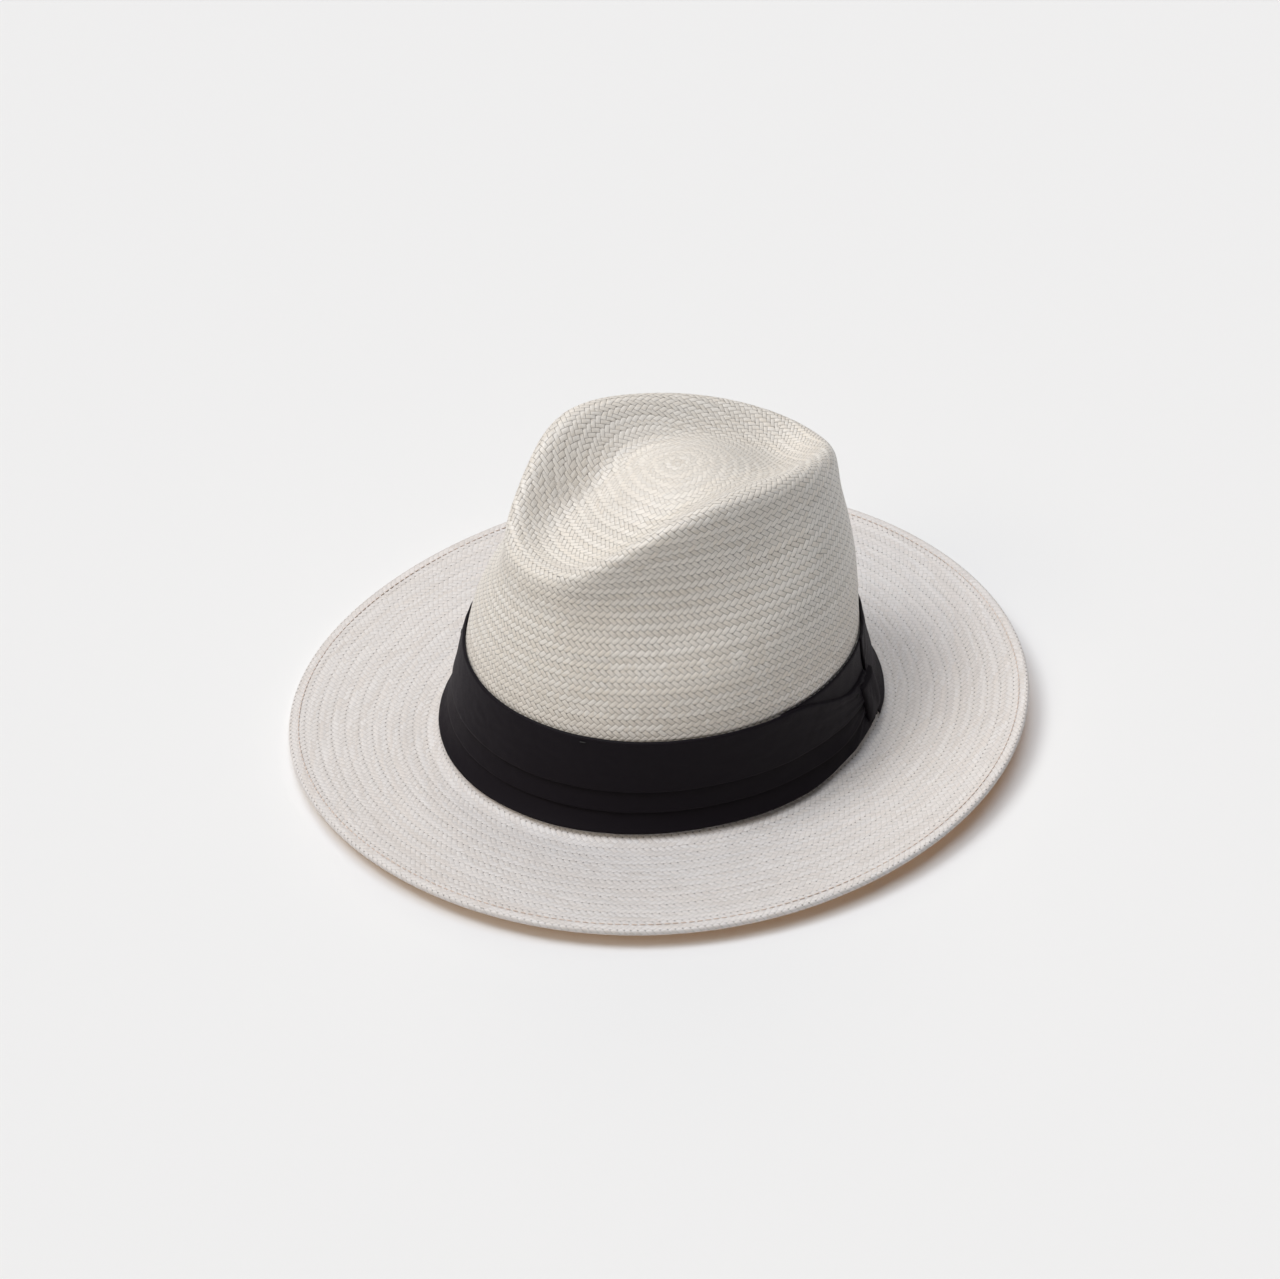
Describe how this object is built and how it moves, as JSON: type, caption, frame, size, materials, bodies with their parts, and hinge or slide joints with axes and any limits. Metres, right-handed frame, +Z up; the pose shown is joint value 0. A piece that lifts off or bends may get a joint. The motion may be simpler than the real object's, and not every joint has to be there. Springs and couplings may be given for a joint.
{
  "type": "panama hat",
  "caption": "Off-white woven straw fedora with a pinched teardrop crown, a wide brim with a wired rolled edge, and a black pleated cloth hatband.",
  "frame": {"origin": "centre of the head opening, in the plane the hat rests on", "axes": "+Z up through the crown, -Y towards the front pinch of the hat, +X towards the wearer's left"},
  "size_m": [0.3112, 0.3362, 0.1391],
  "materials": {
    "straw": "off-white twisted paper straw, bias twill weave, soft sheen",
    "straw_thread": "fine sewing thread, dull",
    "edge_wire": "spring steel wire, hidden in the hem",
    "edge_sleeve": "crimped tube, hidden in the hem",
    "band_cloth": "black cotton cloth, fine weave, matt",
    "band_tape": "black backing tape, matt",
    "band_thread": "black sewing thread",
    "sweat_cloth": "natural cotton twill, matt",
    "sweat_cord": "covered cord",
    "sweat_thread": "sewing thread",
    "join_tape": "woven cotton tape",
    "label_cloth": "plain woven label, blank"
  },
  "bodies": {
    "root": {"woven_body": "straw", "brim_wire": "edge_wire", "brim_wire_sleeve": "edge_sleeve", "brim_hem_thread": "straw_thread", "band_backing_tape": "band_tape", "band_fold_top": "band_cloth", "band_fold_middle": "band_cloth", "band_fold_bottom": "band_cloth", "band_underlap": "band_cloth", "band_crossover_loop": "band_cloth", "band_tack_stitches": "band_thread", "sweatband": "sweat_cloth", "sweatband_cord": "sweat_cord", "sweatband_thread": "sweat_thread", "sweatband_join_tab": "join_tape", "size_label": "label_cloth"}
  },
  "joints": []
}
